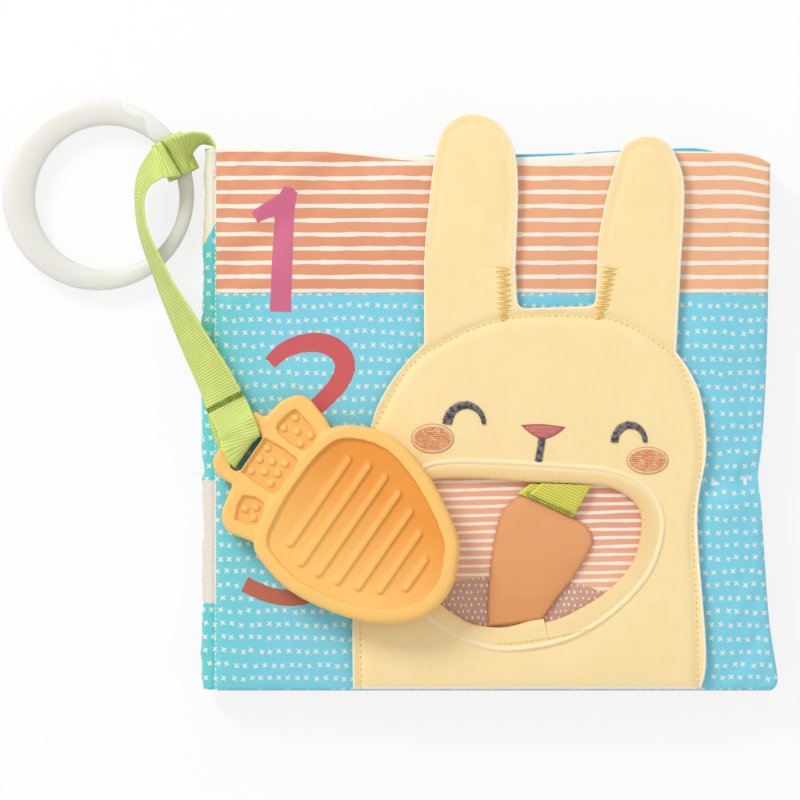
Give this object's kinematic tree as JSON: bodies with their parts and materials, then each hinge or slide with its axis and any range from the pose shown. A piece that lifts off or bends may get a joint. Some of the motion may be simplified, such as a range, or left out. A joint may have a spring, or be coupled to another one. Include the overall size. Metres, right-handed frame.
{
  "type": "crinkle cloth book",
  "caption": "Padded crinkle cloth book with an applique bunny, folding ears, a tucked-in cloth carrot, a link ring and a silicone teether on a ribbon.",
  "frame": {"origin": "centre of the back cover's flat underside", "axes": "+Z out of the front cover, +Y towards the book's top edge, +X away from the spine"},
  "size_m": [0.2431, 0.1861, 0.0326],
  "materials": {
    "printed_satin": "satin, printed",
    "lime_cloth": "satin",
    "blue_cloth": "satin",
    "wadding": "fleecy, matte",
    "crinkle_film": "thin clear film",
    "yellow_velour": "velour, matte",
    "yellow_ribbing": "ribbed knit",
    "pocket_cloth": "printed, fine stripes",
    "charcoal_thread": "satin stitch",
    "orange_thread": "satin stitch",
    "pink_thread": "satin stitch",
    "gold_thread": "zigzag stitch",
    "terracotta_cloth": "smooth printed cloth, matte",
    "lime_ribbon": "grosgrain",
    "milky_plastic": "translucent, smooth",
    "orange_silicone": "satin silicone"
  },
  "bodies": {
    "back_cover": {"back_cover_outer_cloth": "printed_satin", "back_cover_padding": "wadding", "back_cover_crinkle_film": "crinkle_film", "back_cover_inner_cloth": "lime_cloth", "spine_outer_cloth": "printed_satin", "spine_padding": "wadding", "spine_lining": "lime_cloth", "ring_ribbon": "lime_ribbon"},
    "front_cover": {"front_cover_outer_cloth": "printed_satin", "front_cover_padding": "wadding", "front_cover_crinkle_film": "crinkle_film", "front_cover_inner_cloth": "blue_cloth", "bunny_panel": "yellow_velour", "bunny_wadding": "wadding", "window_print": "pocket_cloth", "window_binding": "yellow_ribbing", "left_eye": "charcoal_thread", "right_eye": "charcoal_thread", "left_cheek": "orange_thread", "right_cheek": "orange_thread", "nose": "pink_thread", "mouth": "charcoal_thread", "left_ear_tack": "gold_thread", "right_ear_tack": "gold_thread", "tether_ribbon": "lime_ribbon"},
    "leaf_1": {"leaf_1_back_cloth": "lime_cloth", "leaf_1_padding": "wadding", "leaf_1_crinkle_film": "crinkle_film", "leaf_1_front_cloth": "blue_cloth"},
    "leaf_2": {"leaf_2_back_cloth": "lime_cloth", "leaf_2_padding": "wadding", "leaf_2_crinkle_film": "crinkle_film", "leaf_2_front_cloth": "blue_cloth"},
    "left_ear": {"left_ear": "yellow_velour"},
    "right_ear": {"right_ear": "yellow_velour"},
    "carrot": {"cloth_carrot": "terracotta_cloth", "carrot_ribbon": "lime_ribbon"},
    "link_ring": {"link_ring": "milky_plastic"},
    "teether": {"teether": "orange_silicone"}
  },
  "joints": [
    {"name": "cover_turn", "type": "hinge", "parent": "back_cover", "child": "front_cover", "pos_m": [-0.08815, 0, 0.01354], "axis": [0, -1, 0], "range_deg": [0, 131.25], "deforming": ["tether_ribbon"]},
    {"name": "leaf_1_turn", "type": "hinge", "parent": "back_cover", "child": "leaf_1", "pos_m": [-0.0872, 0, 0.00992], "axis": [0, -1, 0], "range_deg": [0, 70]},
    {"name": "leaf_2_turn", "type": "hinge", "parent": "back_cover", "child": "leaf_2", "pos_m": [-0.0872, 0, 0.00637], "axis": [0, -1, 0], "range_deg": [0, 35]},
    {"name": "left_ear_fold", "type": "hinge", "parent": "front_cover", "child": "left_ear", "pos_m": [-0.00794, 0.04782, 0.0198], "axis": [-1, 0, 0], "range_deg": [-150, 0]},
    {"name": "right_ear_fold", "type": "hinge", "parent": "front_cover", "child": "right_ear", "pos_m": [0.04521, 0.04782, 0.0198], "axis": [-1, 0, 0], "range_deg": [-150, 0]},
    {"name": "carrot_flip", "type": "hinge", "parent": "front_cover", "child": "carrot", "pos_m": [0.01038, -0.02202, 0.0184], "axis": [1, 0, 0], "range_deg": [-100, 0]},
    {"name": "teether_flip", "type": "hinge", "parent": "front_cover", "child": "teether", "pos_m": [-0.08216, -0.00812, 0.02045], "axis": [0.5678, 0.8231, 0], "range_deg": [-110, 0]},
    {"name": "ring_swing", "type": "hinge", "parent": "back_cover", "child": "link_ring", "pos_m": [-0.10085, 0.08295, 0.005], "axis": [0.4432, -0.8964, 0], "range_deg": [-75, 0]}
  ],
  "couplings": [
    {"joint": "leaf_1_turn", "follows": "cover_turn", "ratio": 0.53333},
    {"joint": "leaf_2_turn", "follows": "cover_turn", "ratio": 0.26667}
  ]
}
